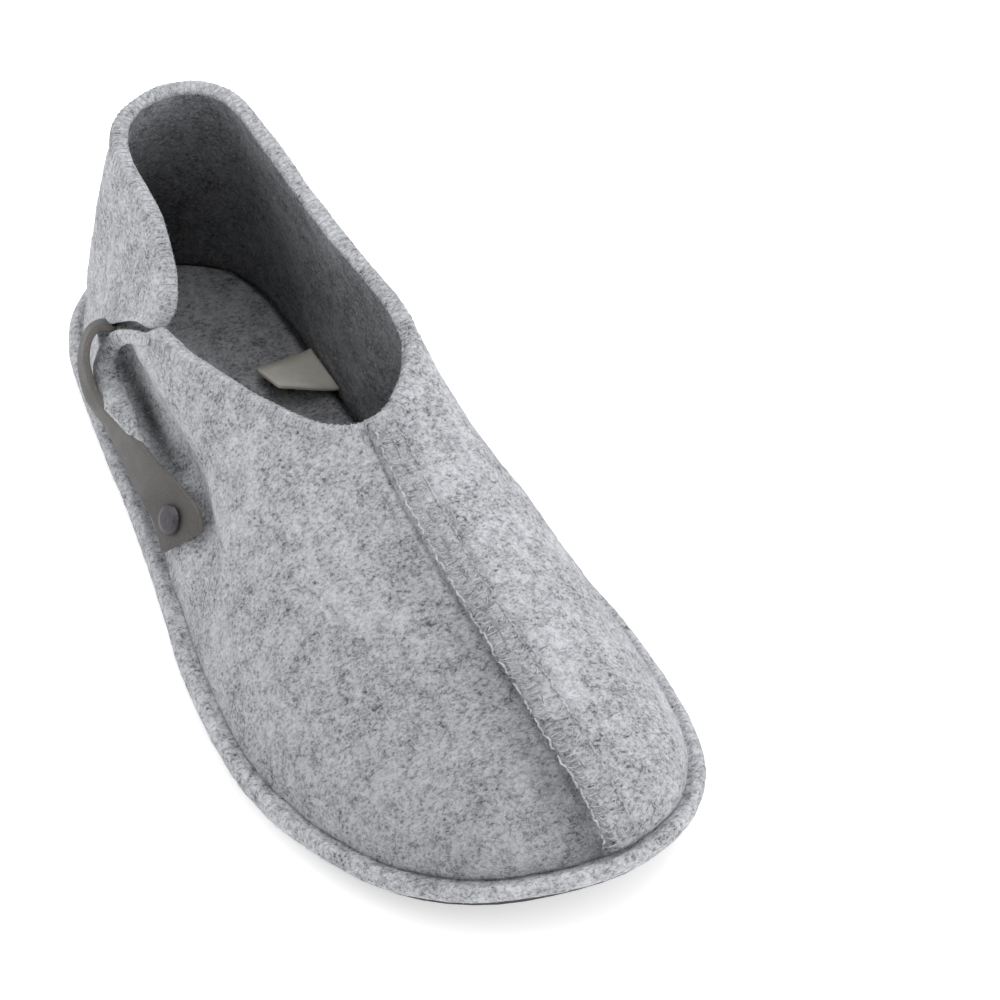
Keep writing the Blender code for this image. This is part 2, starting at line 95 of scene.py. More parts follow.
def subdivide(piece, levels, kind="CATMULL_CLARK"):
    addModifier(piece, "SUBSURF", levels=levels, render_levels=levels, subdivision_type=kind)


def creaseSharp(piece, angle, crease):
    # marks the edges over an angle sharp and creases them for the subdivision
    pick(piece)
    bpy.ops.object.mode_set(mode="EDIT")
    bpy.ops.mesh.select_all(action="DESELECT")
    bpy.ops.mesh.select_mode(type="EDGE")
    bpy.ops.mesh.edges_select_sharp(sharpness=math.radians(angle))
    bpy.ops.mesh.mark_sharp()
    bpy.ops.transform.edge_crease(value=crease)
    bpy.ops.object.mode_set(mode="OBJECT")


def clearSharp(piece):
    pick(piece)
    bpy.ops.object.mode_set(mode="EDIT")
    bpy.ops.mesh.select_all(action="SELECT")
    bpy.ops.mesh.mark_sharp(clear=True)
    bpy.ops.object.mode_set(mode="OBJECT")


def meshPoints(piece):
    points = np.zeros(len(piece.data.vertices) * 3)
    piece.data.vertices.foreach_get("co", points)
    return points.reshape(-1, 3)


def meshNormals(piece):
    normals = np.zeros(len(piece.data.vertices) * 3)
    piece.data.vertices.foreach_get("normal", normals)
    return normals.reshape(-1, 3)


def setPoints(piece, points):
    piece.data.vertices.foreach_set("co", points.ravel())
    piece.data.update()


def fluff(piece, name, size, strength):
    # pushes the surface in and out along its normals with a cloud texture
    texture = bpy.data.textures.new(name, "CLOUDS")
    texture.noise_scale = size
    texture.noise_depth = 2
    addModifier(piece, "DISPLACE", texture=texture, texture_coords="LOCAL", strength=strength,
                mid_level=0.5)


def closeRings(builder, rings):
    # walls between neighbouring rings and a lid at both ends
    walls = []
    for low, high in zip(rings, rings[1:]):
        for k in range(len(low)):
            after = (k + 1) % len(low)
            walls.append(builder.faces.new((low[k], low[after], high[after], high[k])))
    lids = [builder.faces.new(ring) for ring in (rings[0], rings[-1])]
    return walls, lids


def builtPiece(builder, name, *materials):
    # a piece of its own from a finished mesh, its faces turned outward
    bmesh.ops.recalc_face_normals(builder, faces=builder.faces)
    mesh = bpy.data.meshes.new(name)
    builder.to_mesh(mesh)
    builder.free()
    piece = bpy.data.objects.new(name, mesh)
    bpy.context.collection.objects.link(piece)
    for material in materials:
        mesh.materials.append(material)
    pick(piece)
    return piece


def threadTube(name, runs, radius, sides, material):
    # threads as thin closed tubes, one for each run of points, all in one mesh
    builder = bmesh.new()
    turns = [2 * math.pi * k / sides for k in range(sides)]
    for run in runs:
        rings = []
        for i, point in enumerate(run):
            ahead = (run[min(i + 1, len(run) - 1)] - run[max(i - 1, 0)]).normalized()
            side = ahead.cross(Vector(tube["offAxis"])).normalized()
            up = side.cross(ahead)
            thick = radius * (tube["tip"] if i in (0, len(run) - 1) else 1)
            rings.append([builder.verts.new(point + (side * math.cos(turn) + up * math.sin(turn)) * thick)
                          for turn in turns])
        closeRings(builder, rings)
    piece = builtPiece(builder, name, material)
    bpy.ops.object.shade_smooth()
    return piece


def surfaceOf(piece):
    return BVHTree.FromPolygons([v.co.copy() for v in piece.data.vertices],
                                [tuple(p.vertices) for p in piece.data.polygons])


# materials

heather = {
    # three dark marks, two pale ones, clouds and broad patches of the wool: noise scale, turn, stretch,
    # detail, and the noise values between which the mark grows to full
    "marks": ((1050, (0.3, 0.5, 0.9), (1, 0.6, 1), 3, 0.49, 0.76),
              (1200, (1.1, -0.4, 2.2), (1, 0.65, 1), 3, 0.50, 0.78),
              (620, (0.2, 1.3, -0.7), (0.75, 1, 1), 4, 0.52, 0.80),
              (1250, (0.8, 0.2, 1.6), (1, 0.6, 1), 3, 0.50, 0.70),
              (1400, (-0.5, 0.9, 0.3), (0.6, 1, 1), 3, 0.50, 0.70),
              (230, (0, 0, 0), (1, 1, 1), 4, 0.35, 0.7),
              (60, (0, 0, 0), (1, 1, 1), 2, 0.35, 0.65)),
    # what each mark gives to the patches, to the dark fibres and to the height of the nap
    "cloudPatch": 0.65, "broadPatch": 0.35, "evenDark": 0.45, "middleTone": 0.5,
    "paleHeight": 0.6, "cloudHeight": 0.8, "darkHeight": 0.35,
    "bumpDistance": 0.0006, "roughness": 0.95, "sheenRoughness": 0.6, "specular": 0.15}
noise = {"roughness": 0.65, "distortion": 0.15}
# detail and the two cutting values of a noisy surface's grain and spots, and their shares of its colour
speckle = {"grain": (6, 0.3, 0.7), "spots": (3, 0.35, 0.7), "grainShare": 0.6, "spotShare": 0.4}


def newGroup(name, inputs, outputs):
    group = bpy.data.node_groups.new(name, "ShaderNodeTree")
    for label, kind, value in inputs:
        socket = group.interface.new_socket(label, in_out="INPUT", socket_type=kind)
        socket.default_value = value
    for label, kind in outputs:
        group.interface.new_socket(label, in_out="OUTPUT", socket_type=kind)
    entry = group.nodes.new("NodeGroupInput")
    leave = group.nodes.new("NodeGroupOutput")
    return group, entry, leave


def addNode(tree, kind, **values):
    node = tree.nodes.new(kind)
    for key, value in values.items():
        setattr(node, key, value)
    return node


def mathNode(tree, operation, first, second=None, clamp=False):
    node = addNode(tree, "ShaderNodeMath", operation=operation, use_clamp=clamp)
    for socket, value in ((0, first), (1, second)):
        if value is None:
            continue
        if isinstance(value, (int, float)):
            node.inputs[socket].default_value = value
        else:
            tree.links.new(value, node.inputs[socket])
    return node.outputs[0]


def weighted(tree, first, firstShare, second, secondShare):
    # the sum of two values, each times its share
    return mathNode(tree, "ADD", mathNode(tree, "MULTIPLY", first, firstShare),
                    mathNode(tree, "MULTIPLY", second, secondShare))


def stroke(tree, vector, scale, turn, stretch, detail, low, high):
    # short fibre marks: a noise pulled out along one direction, cut to a mask
    mapping = addNode(tree, "ShaderNodeMapping")
    mapping.inputs["Rotation"].default_value = turn
    mapping.inputs["Scale"].default_value = stretch
    tree.links.new(vector, mapping.inputs["Vector"])
    marks = addNode(tree, "ShaderNodeTexNoise")
    marks.inputs["Scale"].default_value = scale
    marks.inputs["Detail"].default_value = detail
    marks.inputs["Roughness"].default_value = noise["roughness"]
    marks.inputs["Distortion"].default_value = noise["distortion"]
    tree.links.new(mapping.outputs[0], marks.inputs["Vector"])
    ramp = addNode(tree, "ShaderNodeMapRange")
    ramp.inputs["From Min"].default_value = low
    ramp.inputs["From Max"].default_value = high
    tree.links.new(marks.outputs[0], ramp.inputs["Value"])
    return ramp.outputs[0]


def makeFeltGroup():
    # heather wool: mixed fibres, soft cloudy patches and the height of the nap
    tree, entry, leave = newGroup("heatherFelt", [
        ("Wool", "NodeSocketColor", (0.55, 0.56, 0.58, 1)),
        ("Dark Fibre", "NodeSocketColor", (0.16, 0.165, 0.17, 1)),
        ("Pale Fibre", "NodeSocketColor", (0.8, 0.81, 0.83, 1)),
        ("Dark Share", "NodeSocketFloat", 0.5),
        ("Pale Share", "NodeSocketFloat", 0.4),
        ("Cloud", "NodeSocketFloat", 0.2),
    ], [("Color", "NodeSocketColor"), ("Height", "NodeSocketFloat")])
    place = addNode(tree, "ShaderNodeTexCoord").outputs["Object"]
    marks = [stroke(tree, place, *mark) for mark in heather["marks"]]
    darkA, darkB, darkC, paleA, paleB, cloud, broad = marks
    dark = mathNode(tree, "MAXIMUM", darkA, mathNode(tree, "MAXIMUM", darkB, darkC))
    pale = mathNode(tree, "MAXIMUM", paleA, paleB)
    patch = weighted(tree, cloud, heather["cloudPatch"], broad, heather["broadPatch"])
    darkShare = mathNode(tree, "MULTIPLY", dark, entry.outputs["Dark Share"])
    patchShare = mathNode(tree, "ADD", patch, heather["evenDark"])
    darkShare = mathNode(tree, "MULTIPLY", darkShare, patchShare, True)
    paleShare = mathNode(tree, "MULTIPLY", pale, entry.outputs["Pale Share"], True)
    tone = mathNode(tree, "SUBTRACT", patch, heather["middleTone"])
    tone = mathNode(tree, "MULTIPLY", tone, entry.outputs["Cloud"])
    tone = mathNode(tree, "SUBTRACT", 1.0, tone)
    tinted = addNode(tree, "ShaderNodeVectorMath", operation="SCALE")
    tree.links.new(entry.outputs["Wool"], tinted.inputs[0])
    tree.links.new(tone, tinted.inputs["Scale"])
    first = addNode(tree, "ShaderNodeMix", data_type="RGBA")
    tree.links.new(paleShare, first.inputs["Factor"])
    tree.links.new(tinted.outputs[0], first.inputs["A"])
    tree.links.new(entry.outputs["Pale Fibre"], first.inputs["B"])
    second = addNode(tree, "ShaderNodeMix", data_type="RGBA")
    tree.links.new(darkShare, second.inputs["Factor"])
    tree.links.new(first.outputs["Result"], second.inputs["A"])
    tree.links.new(entry.outputs["Dark Fibre"], second.inputs["B"])
    tree.links.new(second.outputs["Result"], leave.inputs["Color"])
    height = weighted(tree, pale, heather["paleHeight"], cloud, heather["cloudHeight"])
    height = mathNode(tree, "SUBTRACT", height, mathNode(tree, "MULTIPLY", dark, heather["darkHeight"]))
    tree.links.new(height, leave.inputs["Height"])
    return tree


feltGroup = makeFeltGroup()


def feltMaterial(name, look):
    # heather felt, darkened by painted shade where the mesh's "shade" attribute says so
    material = bpy.data.materials.new(name)
    material.use_nodes = True
    tree = material.node_tree
    shader = tree.nodes["Principled BSDF"]
    felt = addNode(tree, "ShaderNodeGroup", node_tree=feltGroup)
    felt.inputs["Wool"].default_value = (*look["wool"], 1)
    felt.inputs["Dark Fibre"].default_value = (*look["darkFibre"], 1)
    felt.inputs["Pale Fibre"].default_value = (*look["paleFibre"], 1)
    felt.inputs["Dark Share"].default_value = look["darkShare"]
    felt.inputs["Pale Share"].default_value = look["paleShare"]
    felt.inputs["Cloud"].default_value = look["cloud"]
    shade = addNode(tree, "ShaderNodeAttribute", attribute_name="shade")
    dimmed = addNode(tree, "ShaderNodeVectorMath", operation="SCALE")
    tree.links.new(felt.outputs["Color"], dimmed.inputs[0])
    tree.links.new(mathNode(tree, "SUBTRACT", 1.0, shade.outputs["Fac"], True), dimmed.inputs["Scale"])
    tree.links.new(dimmed.outputs[0], shader.inputs["Base Color"])
    bump = addNode(tree, "ShaderNodeBump")
    bump.inputs["Strength"].default_value = look["bump"]
    bump.inputs["Distance"].default_value = heather["bumpDistance"]
    tree.links.new(felt.outputs["Height"], bump.inputs["Height"])
    tree.links.new(bump.outputs[0], shader.inputs["Normal"])
    shader.inputs["Roughness"].default_value = heather["roughness"]
    shader.inputs["Sheen Weight"].default_value = look["sheen"]
    shader.inputs["Sheen Roughness"].default_value = heather["sheenRoughness"]
    shader.inputs["Specular IOR Level"].default_value = heather["specular"]
    return material


lightFelt = feltMaterial("lightFelt", {
    "wool": (0.50, 0.51, 0.535), "darkFibre": (0.07, 0.073, 0.082), "paleFibre": (0.74, 0.755, 0.79),
    "darkShare": 1.15, "paleShare": 0.6, "cloud": 0.55, "bump": 0.7, "sheen": 0.1})
darkFelt = feltMaterial("darkFelt", {
    "wool": (0.255, 0.259, 0.277), "darkFibre": (0.015, 0.015, 0.018), "paleFibre": (0.62, 0.635, 0.67),
    "darkShare": 1.0, "paleShare": 0.7, "cloud": 0.8, "bump": 0.7, "sheen": 0.08})
insoleFelt = feltMaterial("insoleFelt", {
    "wool": (0.37, 0.374, 0.395), "darkFibre": (0.03, 0.03, 0.035), "paleFibre": (0.60, 0.61, 0.64),
    "darkShare": 1.0, "paleShare": 0.6, "cloud": 0.75, "bump": 0.6, "sheen": 0.08})


def plainMaterial(name, color, roughness):
    material = bpy.data.materials.new(name)
    material.use_nodes = True
    shader = material.node_tree.nodes["Principled BSDF"]
    shader.inputs["Base Color"].default_value = (*color, 1)
    shader.inputs["Roughness"].default_value = roughness
    return material


def noisyMaterial(name, look):
    # a surface with grain: colour varies between two tones, and the grain lifts the surface
    material = bpy.data.materials.new(name)
    material.use_nodes = True
    tree = material.node_tree
    shader = tree.nodes["Principled BSDF"]
    place = addNode(tree, "ShaderNodeTexCoord").outputs["Object"]
    stretch = look.get("stretch", (1, 1, 1))
    grain = stroke(tree, place, look["grainScale"], (0, 0, 0), stretch, *speckle["grain"])
    spots = stroke(tree, place, look["spotScale"], (0, 0, 0), (1, 1, 1), *speckle["spots"])
    mixing = addNode(tree, "ShaderNodeMix", data_type="RGBA")
    mixing.inputs["A"].default_value = (*look["deep"], 1)
    mixing.inputs["B"].default_value = (*look["top"], 1)
    factor = weighted(tree, grain, speckle["grainShare"], spots, speckle["spotShare"])
    tree.links.new(factor, mixing.inputs["Factor"])
    tree.links.new(mixing.outputs["Result"], shader.inputs["Base Color"])
    roughness = addNode(tree, "ShaderNodeMapRange")
    roughness.inputs["To Min"].default_value = look["rough"][0]
    roughness.inputs["To Max"].default_value = look["rough"][1]
    tree.links.new(spots, roughness.inputs["Value"])
    tree.links.new(roughness.outputs[0], shader.inputs["Roughness"])
    bump = addNode(tree, "ShaderNodeBump")
    bump.inputs["Strength"].default_value = look["bump"]
    bump.inputs["Distance"].default_value = look["distance"]
    tree.links.new(grain, bump.inputs["Height"])
    tree.links.new(bump.outputs[0], shader.inputs["Normal"])
    shader.inputs["Metallic"].default_value = look.get("metallic", 0.0)
    return material


threadLook = noisyMaterial("seamThread", {
    "deep": (0.13, 0.134, 0.143), "top": (0.70, 0.715, 0.745), "grainScale": 900, "spotScale": 420,
    "rough": (0.7, 0.9), "bump": 0.4, "distance": 0.0002})
rimLook = noisyMaterial("rimThread", {
    "deep": (0.30, 0.31, 0.33), "top": (0.60, 0.615, 0.64), "grainScale": 900, "spotScale": 420,
    "rough": (0.8, 0.95), "bump": 0.4, "distance": 0.0002})
darkThread = noisyMaterial("darkThread", {
    "deep": (0.16, 0.165, 0.175), "top": (0.26, 0.265, 0.28), "grainScale": 900, "spotScale": 200,
    "rough": (0.8, 0.95), "bump": 0.4, "distance": 0.0002})
paleFibre = noisyMaterial("paleFibre", {
    "deep": (0.30, 0.31, 0.33), "top": (0.72, 0.735, 0.765), "grainScale": 700, "spotScale": 500,
    "rough": (0.85, 0.95), "bump": 0.1, "distance": 0.0001})
greyFibre = noisyMaterial("greyFibre", {
    "deep": (0.05, 0.052, 0.057), "top": (0.34, 0.35, 0.37), "grainScale": 700, "spotScale": 500,
    "rough": (0.85, 0.95), "bump": 0.1, "distance": 0.0001})
strapLeather = noisyMaterial("strapLeather", {
    "deep": (0.043, 0.041, 0.039), "top": (0.090, 0.086, 0.081), "grainScale": 1500, "spotScale": 160,
    "rough": (0.5, 0.7), "bump": 0.35, "distance": 0.0002})
strapEdge = noisyMaterial("strapEdge", {
    "deep": (0.095, 0.090, 0.084), "top": (0.20, 0.19, 0.175), "grainScale": 1400, "spotScale": 300,
    "rough": (0.75, 0.9), "bump": 0.5, "distance": 0.0002})
rivetMetal = noisyMaterial("rivetMetal", {
    "deep": (0.055, 0.052, 0.060), "top": (0.090, 0.085, 0.095), "grainScale": 700, "spotScale": 250,
    "rough": (0.28, 0.42), "bump": 0.08, "distance": 0.0001, "metallic": 0.9})
treadRubber = noisyMaterial("treadRubber", {
    "deep": (0.010, 0.010, 0.011), "top": (0.022, 0.022, 0.024), "grainScale": 900, "spotScale": 150,
    "rough": (0.42, 0.6), "bump": 0.25, "distance": 0.0002})
labelCloth = noisyMaterial("labelCloth", {
    "deep": (0.66, 0.64, 0.56), "top": (0.86, 0.84, 0.74), "grainScale": 1800, "spotScale": 220,
    "rough": (0.8, 0.95), "bump": 0.5, "distance": 0.0002, "stretch": (1, 6, 1)})
print("materials ready")


# camera, fitted to the photograph, so that pieces can be aimed through its pixels

shot = {"place": (0.61490, -0.28392, 0.75718), "aim": (0.015625, 0.039796, 0.025), "lens": 137.911,
        "sensor": 36, "near": 0.01, "picture": 1000, "search": 40}
bpy.ops.object.camera_add(location=shot["place"])
camera = bpy.context.active_object
camera.name = "camera"
camera.data.lens = shot["lens"]
camera.data.sensor_width = shot["sensor"]
camera.data.clip_start = shot["near"]
camera.rotation_euler = (Vector(shot["aim"]) - Vector(shot["place"])).to_track_quat("-Z", "Y").to_euler()
bpy.context.scene.camera = camera
viewTurn = camera.rotation_euler.to_matrix()
pixelStep = camera.data.sensor_width / camera.data.lens / shot["picture"]
middlePixel = shot["picture"] / 2


def pixelRay(x, y):
    # the line of sight through a pixel of the photograph, one metre deep
    return viewTurn @ Vector(((x - middlePixel) * pixelStep, (middlePixel - y) * pixelStep, -1))


def throughPixel(surface, x, y):
    # where the photograph's pixel meets a surface
    return surface.ray_cast(Vector(shot["place"]), pixelRay(x, y).normalized())[0]


def feltDepth(x, y):
    # depth of the upper at a pixel, or of its nearest part to the right where the pixel misses it
    for shift in range(shot["search"]):
        found = throughPixel(upperSurface, x + shift, y)
        if found is not None:
            return depthOf(found)
    return None


def depthOf(place):
    # how far a place lies in front of the camera, along its axis
    return (viewTurn.inverted() @ (place - Vector(shot["place"]))).z * -1


def atDepth(x, y, depth):
    return Vector(shot["place"]) + pixelRay(x, y) * depth


def lineDistance(points, line):
    # distance of each point from a line of places, and how far along the line it is, 0 to 1
    line = np.array(line)
    near = np.full(len(points), 1.0)
    along = np.zeros(len(points))
    for i, (start, end) in enumerate(zip(line, line[1:])):
        reach = end - start
        share = np.clip((points - start) @ reach / (reach @ reach), 0, 1)
        gap = np.linalg.norm(points - start - share[:, None] * reach, axis=1)
        closer = gap < near
        near = np.where(closer, gap, near)
        along = np.where(closer, (i + share) / (len(line) - 1), along)
    return near, along


def rampShare(values, start, reach):
    # 0 up to the start, 1 from the end of the reach on, which may run backward
    return np.clip((values - start) / reach, 0, 1)


def bell(values, middle, width):
    return np.exp(-((values - middle) / width) ** 2)


def setShade(piece, values):
    # how far painted shade darkens the felt, kept by every vertex
    deepest = 0.95
    shade = piece.data.attributes.new("shade", "FLOAT", "POINT")
    shade.data.foreach_set("value", np.clip(values, 0, deepest).astype(np.float32))


# upper: merged copy of the felt shell, subdivided, with the lining on its inner skin

upper = {"sharpAngle": 62, "crease": 0.3, "levels": 2, "wobble": 0.0012, "wobbleSize": 0.018,
         "nap": 0.0004, "napSize": 0.0022,
         # the hollow's middle line: its back, front and height, and how squarely the lining faces it
         "axis": (-0.09, 0.07, 0.022), "inward": -0.3,
         # the crease beside the strap, its line in pixels of the photograph; the felt sinks along it and
         # painted shade darkens it
         "valley": ((114, 352), (121, 364), (130, 381), (139, 400), (149, 420), (158, 440), (168, 459),
                    (179, 478), (191, 498), (200, 520)),
         "creaseDepth": 0.0030, "creaseWidth": 0.0034, "fadeSpeed": 1.1, "fadeStart": 0.12, "facing": 0.2}
feltUpper = copyNode("upper", "feltUpper")
for material in (lightFelt, darkFelt):
    feltUpper.data.materials.append(material)
creaseSharp(feltUpper, upper["sharpAngle"], upper["crease"])
clearSharp(feltUpper)
subdivide(feltUpper, upper["levels"])
axisBack, axisFront, axisHeight = upper["axis"]
for face in feltUpper.data.polygons:
    axis = Vector((max(axisBack, min(axisFront, face.center.x)), 0.0, axisHeight))
    face.material_index = 1 if face.normal.dot((face.center - axis).normalized()) < upper["inward"] else 0
upperSurface = surfaceOf(feltUpper)
valley = [throughPixel(upperSurface, x, y) for x, y in upper["valley"]]
points = meshPoints(feltUpper)
valleyGap, valleyAlong = lineDistance(points, valley)
valleyFade = np.sin(np.clip(valleyAlong * upper["fadeSpeed"] + upper["fadeStart"], 0, 1) * math.pi) ** 0.5
# the crease's mask sinks the felt below and later sets the painted shade in the crease
valleyMask = np.exp(-(valleyGap / upper["creaseWidth"]) ** 2) * valleyFade
facing = meshNormals(feltUpper)[:, 1] < upper["facing"]
change = np.where(facing, -valleyMask * upper["creaseDepth"], 0)
setPoints(feltUpper, points + meshNormals(feltUpper) * change[:, None])
fluff(feltUpper, "feltWobble", upper["wobbleSize"], upper["wobble"])
fluff(feltUpper, "feltNap", upper["napSize"], upper["nap"])
upperSurface = surfaceOf(feltUpper)
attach(feltUpper, "root")
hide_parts("upper")
print("upper:", len(feltUpper.data.polygons), "faces")

# centre seam: two stitched halves, a dark line between them and a cord at each edge

seam = {"toeHalf": 0.0046, "throatHalf": 0.0032, "inner": 0.0005, "pitch": 0.0016, "probe": 0.001,
        # stitches: their lift, radius, how far they reach over the half band, and steps their ends sway
        "lift": 0.00006, "thread": 0.00020, "reach": (0.65, 1.05), "sway": (-1, 0, 1, 1, 2, 3),
        # edge cords and middle line: radius, lift, a run every so many places and how long a run may be
        "edge": 0.00030, "edgeLift": 0.00004, "edgeEvery": 7, "edgeLong": (6, 8, 9),
        "middle": 0.00016, "middleLift": -0.00002, "middleEvery": 12, "middleLong": (4, 6, 8),
        "ragged": 0.00035,
        "line": ((0.1262, 0.0122, 0.0225), (0.1255, 0.0121, 0.0256), (0.1195, 0.0119, 0.0302),
                 (0.1085, 0.0116, 0.0339), (0.0955, 0.0112, 0.0370), (0.0805, 0.0108, 0.0400),
                 (0.0645, 0.0105, 0.0430), (0.0485, 0.0102, 0.0465), (0.0325, 0.0102, 0.0508),
                 (0.0175, 0.0103, 0.0562), (0.0062, 0.0106, 0.0626))}


def evenStations(line, pitch, closed=False):
    # places at even steps along a smooth line through the given points
    line = [Vector(p) for p in line]
    count = len(line)
    between = 24
    dense = []
    for i in range(count if closed else count - 1):
        around = [(i + k) % count if closed else min(max(i + k, 0), count - 1) for k in (-1, 0, 1, 2)]
        a, b, c, d = (line[k] for k in around)
        for k in range(between):
            t = k / between
            dense.append(0.5 * (2 * b + (c - a) * t + (2 * a - 5 * b + 4 * c - d) * t * t
                                + (3 * b - 3 * c + d - a) * t ** 3))
    dense.append(line[0] if closed else line[-1])
    walked = [0.0]
    for a, b in zip(dense, dense[1:]):
        walked.append(walked[-1] + (b - a).length)
    steps = max(2, round(walked[-1] / pitch))
    places = []
    j = 0
    for k in range(steps + (0 if closed else 1)):
        reach = walked[-1] * k / steps
        while j < len(dense) - 2 and walked[j + 1] < reach:
            j += 1
        share = (reach - walked[j]) / max(1e-9, walked[j + 1] - walked[j])
        places.append((dense[j].lerp(dense[j + 1], share), (dense[j + 1] - dense[j]).normalized()))
    return places


seamPlaces = evenStations(seam["line"], seam["pitch"] / 2)


def onSeam(k, across, lift):
    # a place on the felt beside the seam's line
    place, ahead = seamPlaces[max(0, min(k, len(seamPlaces) - 1))]
    found, normal, *_ = upperSurface.find_nearest(place)
    side = normal.cross(ahead).normalized()
    found, normal, *_ = upperSurface.find_nearest(place + side * across + normal * seam["probe"])
    return found + normal * lift


def seamHalf(share):
    # half the band's width, from the toe (0) to the throat (1)
    return seam["toeHalf"] + (seam["throatHalf"] - seam["toeHalf"]) * share


random.seed(4)
lastPlace = len(seamPlaces) - 1
seamRuns = []
for sign in (-1, 1):
    for k in range(1, len(seamPlaces) - 2, 2):
        reach = seamHalf(k / lastPlace) * random.uniform(*seam["reach"])
        sway = random.choice(seam["sway"])
        start = onSeam(k, sign * seam["inner"], 0.0)
        middle = onSeam(k, sign * (seam["inner"] + reach) / 2, seam["lift"])
        seamRuns.append([start, middle, onSeam(k + sway, sign * reach, 0.0)])
seamThread = threadTube("seamThread", seamRuns, seam["thread"], 5, threadLook)
edgeRuns = []
for sign in (-1, 1):
    for first in range(0, lastPlace - 3, seam["edgeEvery"]):
        run = []
        for k in range(first, min(first + random.choice(seam["edgeLong"]), lastPlace + 1)):
            across = seamHalf(k / lastPlace) + random.uniform(-1, 1) * seam["ragged"]
            run.append(onSeam(k, sign * across, seam["edgeLift"]))
        edgeRuns.append(run)
seamEdge = threadTube("seamEdge", edgeRuns, seam["edge"], 6, lightFelt)
middleRuns = []
for first in range(2, lastPlace - 8, seam["middleEvery"]):
    stretch = range(first, first + random.choice(seam["middleLong"]))
    middleRuns.append([onSeam(k, random.uniform(-1, 1) * seam["ragged"], seam["middleLift"])
                       for k in stretch])
seamMiddle = threadTube("seamMiddle", middleRuns, seam["middle"], 6, darkThread)
for piece in (seamThread, seamEdge, seamMiddle):
    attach(piece, "root")
print("seam:", len(seamRuns), "stitches")

# insole, its edge darkened with painted shade

spring = {"rise": 0.0127, "length": 0.265, "start": 0.70, "ramp": 0.30, "most": 1.2}
insoleLook = {"levels": 2, "nap": 0.0004, "napSize": 0.002, "top": 0.0116, "edgeDepth": 0.0006,
              "edgeShade": 0.6}


def toeSpring(ahead):
    # how far the sole's underside has risen at places along the shoe
    share = (ahead / spring["length"] + 0.5 - spring["start"]) / spring["ramp"]
    return spring["rise"] * np.clip(share, 0, spring["most"]) ** 2


def besideInsole(points, reach):
    # which points lie closer to the insole than the reach
    return np.array([insoleSurface.find_nearest(Vector(point))[3] < reach for point in points])


innerSole = copyNode("insole", "innerSole")
innerSole.data.materials.append(insoleFelt)
subdivide(innerSole, insoleLook["levels"])
fluff(innerSole, "insoleNap", insoleLook["napSize"], insoleLook["nap"])
insolePoints = meshPoints(innerSole)
insoleTop = insoleLook["top"] + toeSpring(insolePoints[:, 0])
# painted shade on the insole's sides, below its top
setShade(innerSole, insoleLook["edgeShade"] * (insolePoints[:, 2] < insoleTop - insoleLook["edgeDepth"]))
insoleSurface = surfaceOf(innerSole)
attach(innerSole, "root")
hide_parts("insole")
print("insole:", len(innerSole.data.polygons), "faces")

# painted shade on the felt: in the valley by the strap, beside the seam, on the outer front and toe, low
# down inside and next to the insole

shading = {
    # how dark the painted shade in the crease by the strap is, where the two halves meet, and how sparsely
    # the seam's places are taken
    "valley": 0.88, "middleLine": 0.0108, "stations": 6,
    # along the seam's band: painted shade as a dark line in the groove beside it, more on the outer half,
    # and the band itself darker
    "line": 0.18, "lineOuter": 0.06, "lineAt": 0.0009, "lineWidth": 0.0010, "band": 0.09, "bandEnd": 0.0003,
    # painted shade in the hollow beside the seam on its outer side, growing toward the toe
    "hollow": 0.26, "hollowAt": 0.0085, "hollowWidth": 0.0055, "hollowSide": 0.008, "toeReach": 0.11,
    # painted shade on the lining: low down, on the outer side and at the heel, each with its start and its
    # reach
    "deep": (0.070, -0.040), "outerSide": (0.022, -0.030), "heelward": (-0.055, -0.050),
    "liningOuter": 0.50, "liningHeel": 0.44,
    # painted shade on the outer front of the upper, more toward its toe, and a little over the whole toe
    "front": 0.07, "frontStart": -0.055, "frontToe": 0.16, "toe": 0.06,
    # painted shade in the gap where the upper meets the insole, and how close it reaches
    "nearInsole": 0.6, "insoleReach": 0.0012}
points = meshPoints(feltUpper)
seamLine = [place for place, ahead in seamPlaces[::shading["stations"]]]
seamGap, seamAlong = lineDistance(points, seamLine)
pastBand = seamGap - seamHalf(seamAlong)
outerHalf = points[:, 1] < shading["middleLine"]
# painted shade in the groove beside the seam's band, and the band made darker
seamShade = shading["line"] + shading["lineOuter"] * outerHalf
seamShade = seamShade * bell(pastBand, shading["lineAt"], shading["lineWidth"])
seamShade = seamShade + shading["band"] * (pastBand < shading["bandEnd"])
toeward = rampShare(points[:, 0], 0, shading["toeReach"])
# painted shade beside the seam, growing toward the toe
besideSeam = shading["hollow"] * bell(seamGap, shading["hollowAt"], shading["hollowWidth"])
besideSeam = besideSeam * (points[:, 1] < shading["hollowSide"]) * toeward
normals = meshNormals(feltUpper)
axis = np.column_stack([np.clip(points[:, 0], axisBack, axisFront), np.zeros(len(points)),
                        np.full(len(points), axisHeight)])
outward = points - axis
inside = (normals * outward).sum(axis=1) < upper["inward"] * np.linalg.norm(outward, axis=1)
# painted shade low down in the lining, more on the outer side and at the heel
deepDown = rampShare(points[:, 2], *shading["deep"])
outerSide = rampShare(points[:, 1], *shading["outerSide"])
heelward = rampShare(points[:, 0], *shading["heelward"])
liningShade = deepDown * (shading["liningOuter"] * outerSide + shading["liningHeel"] * heelward)
# painted shade on the outer front and toe
leftFront = shading["front"] * (points[:, 0] > shading["frontStart"]) + shading["frontToe"] * toeward
leftFront = leftFront * outerHalf
# all the painted shade of the outer felt, the crease by the strap's among it
feltShade = shading["valley"] * valleyMask + seamShade + besideSeam + leftFront + shading["toe"] * toeward
# painted shade where the upper lies close to the insole
nearInsole = shading["nearInsole"] * besideInsole(points, shading["insoleReach"])
setShade(feltUpper, np.maximum(np.where(inside, liningShade, feltShade), nearInsole))

# collar: overlock loops over the felt's edge

